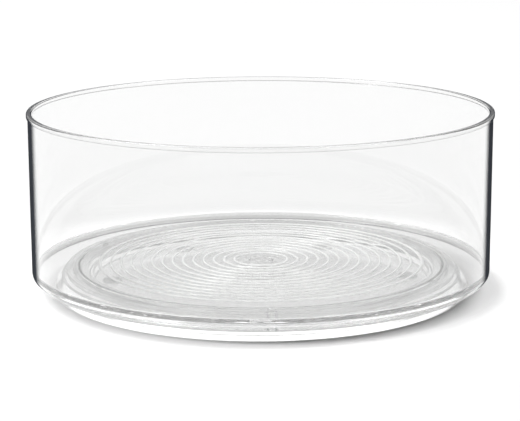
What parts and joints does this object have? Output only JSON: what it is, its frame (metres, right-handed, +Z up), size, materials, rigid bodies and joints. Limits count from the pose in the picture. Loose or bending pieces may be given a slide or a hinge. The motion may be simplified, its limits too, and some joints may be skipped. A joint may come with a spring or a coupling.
{
  "type": "lazy susan turntable",
  "caption": "Clear round storage turntable: a deep straight-walled tub with a ridged floor turns on a ring of balls over a low round base.",
  "frame": {"origin": "centre of the circle of feet, on the table", "axes": "+Z up, along the axis that the tub turns about; +X and +Y lie on the table"},
  "size_m": [0.28, 0.28, 0.11],
  "materials": {
    "clear_tub_plastic": "clear, polished, with a faint cool tint on its edges",
    "clear_base_plastic": "clear, polished",
    "clear_cage_plastic": "clear, satin",
    "clear_ball_plastic": "clear, polished",
    "clear_fastener_plastic": "clear polycarbonate, polished",
    "clear_foot_rubber": "translucent, matt"
  },
  "bodies": {
    "base": {"base": "clear_base_plastic", "foot_1": "clear_foot_rubber", "foot_2": "clear_foot_rubber", "foot_3": "clear_foot_rubber", "foot_4": "clear_foot_rubber", "foot_5": "clear_foot_rubber", "foot_6": "clear_foot_rubber"},
    "tub": {"tub": "clear_tub_plastic", "pivot_screw": "clear_fastener_plastic", "pivot_washer": "clear_fastener_plastic"},
    "ball_cage": {"ball_cage": "clear_cage_plastic"},
    "bearing_ball_1": {"bearing_ball_1": "clear_ball_plastic"},
    "bearing_ball_2": {"bearing_ball_2": "clear_ball_plastic"},
    "bearing_ball_3": {"bearing_ball_3": "clear_ball_plastic"},
    "bearing_ball_4": {"bearing_ball_4": "clear_ball_plastic"},
    "bearing_ball_5": {"bearing_ball_5": "clear_ball_plastic"},
    "bearing_ball_6": {"bearing_ball_6": "clear_ball_plastic"}
  },
  "joints": [
    {"name": "tub_turn", "type": "hinge", "parent": "base", "child": "tub", "pos_m": [0, 0, 0.0096], "axis": [0, 0, 1], "continuous": true},
    {"name": "cage_turn", "type": "hinge", "parent": "base", "child": "ball_cage", "pos_m": [0, 0, 0.0115], "axis": [0, 0, 1], "continuous": true},
    {"name": "ball_roll_1", "type": "hinge", "parent": "ball_cage", "child": "bearing_ball_1", "pos_m": [0.09393, 0.061, 0.0115], "axis": [0.8387, 0.5446, 0], "continuous": true},
    {"name": "ball_roll_2", "type": "hinge", "parent": "ball_cage", "child": "bearing_ball_2", "pos_m": [-0.00586, 0.11185, 0.0115], "axis": [-0.0523, 0.9986, 0], "continuous": true},
    {"name": "ball_roll_3", "type": "hinge", "parent": "ball_cage", "child": "bearing_ball_3", "pos_m": [-0.09979, 0.05085, 0.0115], "axis": [-0.891, 0.454, 0], "continuous": true},
    {"name": "ball_roll_4", "type": "hinge", "parent": "ball_cage", "child": "bearing_ball_4", "pos_m": [-0.09393, -0.061, 0.0115], "axis": [-0.8387, -0.5446, 0], "continuous": true},
    {"name": "ball_roll_5", "type": "hinge", "parent": "ball_cage", "child": "bearing_ball_5", "pos_m": [0.00586, -0.11185, 0.0115], "axis": [0.0523, -0.9986, 0], "continuous": true},
    {"name": "ball_roll_6", "type": "hinge", "parent": "ball_cage", "child": "bearing_ball_6", "pos_m": [0.09979, -0.05085, 0.0115], "axis": [0.891, -0.454, 0], "continuous": true}
  ],
  "couplings": [
    {"joint": "cage_turn", "follows": "tub_turn", "ratio": 0.5},
    {"joint": "ball_roll_1", "follows": "tub_turn", "ratio": -18.667},
    {"joint": "ball_roll_2", "follows": "tub_turn", "ratio": -18.667},
    {"joint": "ball_roll_3", "follows": "tub_turn", "ratio": -18.667},
    {"joint": "ball_roll_4", "follows": "tub_turn", "ratio": -18.667},
    {"joint": "ball_roll_5", "follows": "tub_turn", "ratio": -18.667},
    {"joint": "ball_roll_6", "follows": "tub_turn", "ratio": -18.667}
  ]
}
